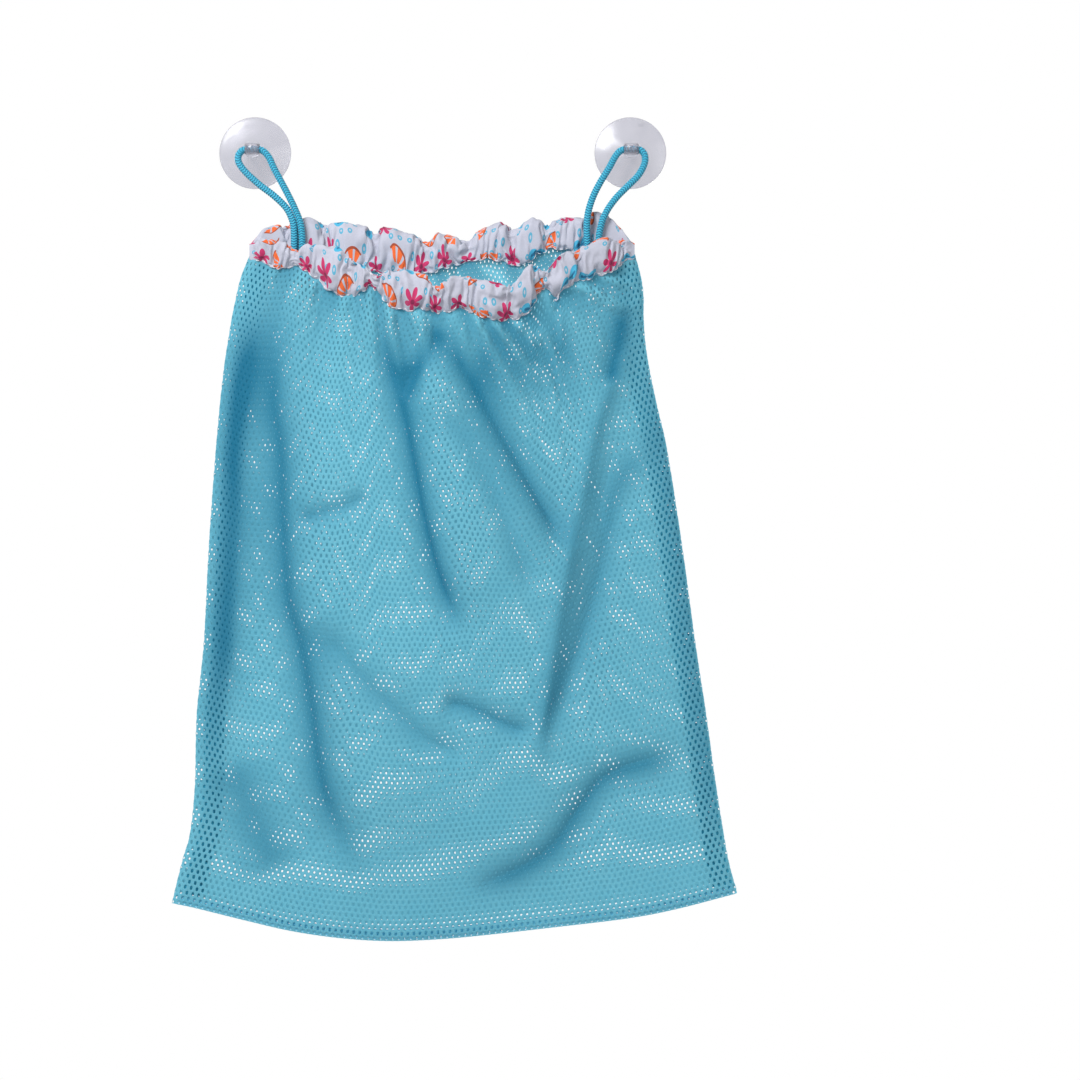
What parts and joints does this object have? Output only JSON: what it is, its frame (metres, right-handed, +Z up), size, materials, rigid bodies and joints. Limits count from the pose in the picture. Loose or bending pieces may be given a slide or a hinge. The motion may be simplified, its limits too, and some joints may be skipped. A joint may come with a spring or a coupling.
{
  "type": "bath toy organizer",
  "caption": "Net bag with a gathered elastic collar, hung by cord loops from clear suction cups, for storing and draining bath toys.",
  "frame": {"origin": "on the wall surface, midway between the centres of the suction cups", "axes": "+Z up, +Y into the wall, +X to the right as seen from the room"},
  "size_m": [0.3506, 0.0498, 0.5134],
  "materials": {
    "clear_pvc": "clear soft PVC, glossy, with a faint lilac tint",
    "braided_cord": "round braided polyester cord, turquoise",
    "printed_cotton": "white plain weave with a scattered small print in orange, magenta and teal",
    "elastic_webbing": "flat white elastic webbing",
    "knit_net": "soft polyester net with small six-sided holes, turquoise",
    "net_seam": "doubled and overlocked net edge, turquoise"
  },
  "bodies": {
    "wall_cups": {"suction_cup_left": "clear_pvc", "suction_cup_right": "clear_pvc"},
    "cord_loops": {"cord_loop_left": "braided_cord", "cord_loop_right": "braided_cord"},
    "bag": {"collar_back": "printed_cotton", "elastic_back": "elastic_webbing", "net_back_panel": "knit_net", "net_front_panel": "knit_net", "side_seam_left": "net_seam", "side_seam_right": "net_seam", "bottom_seam": "net_seam", "cord_tack_left": "braided_cord", "cord_tack_right": "braided_cord"},
    "front_rim": {"collar_front": "printed_cotton", "elastic_front": "elastic_webbing"}
  },
  "joints": [
    {"name": "loops_swing", "type": "hinge", "parent": "wall_cups", "child": "cord_loops", "pos_m": [0, -0.017, 0], "axis": [-1, 0, 0], "range_deg": [0, 75]},
    {"name": "bag_swing", "type": "hinge", "parent": "cord_loops", "child": "bag", "pos_m": [0, -0.017, -0.064], "axis": [-1, 0, 0], "range_deg": [0, 34]},
    {"name": "mouth_open", "type": "hinge", "parent": "bag", "child": "front_rim", "pos_m": [0, -0.017, -0.055], "axis": [-1, 0, 0], "range_deg": [0, 40]}
  ]
}
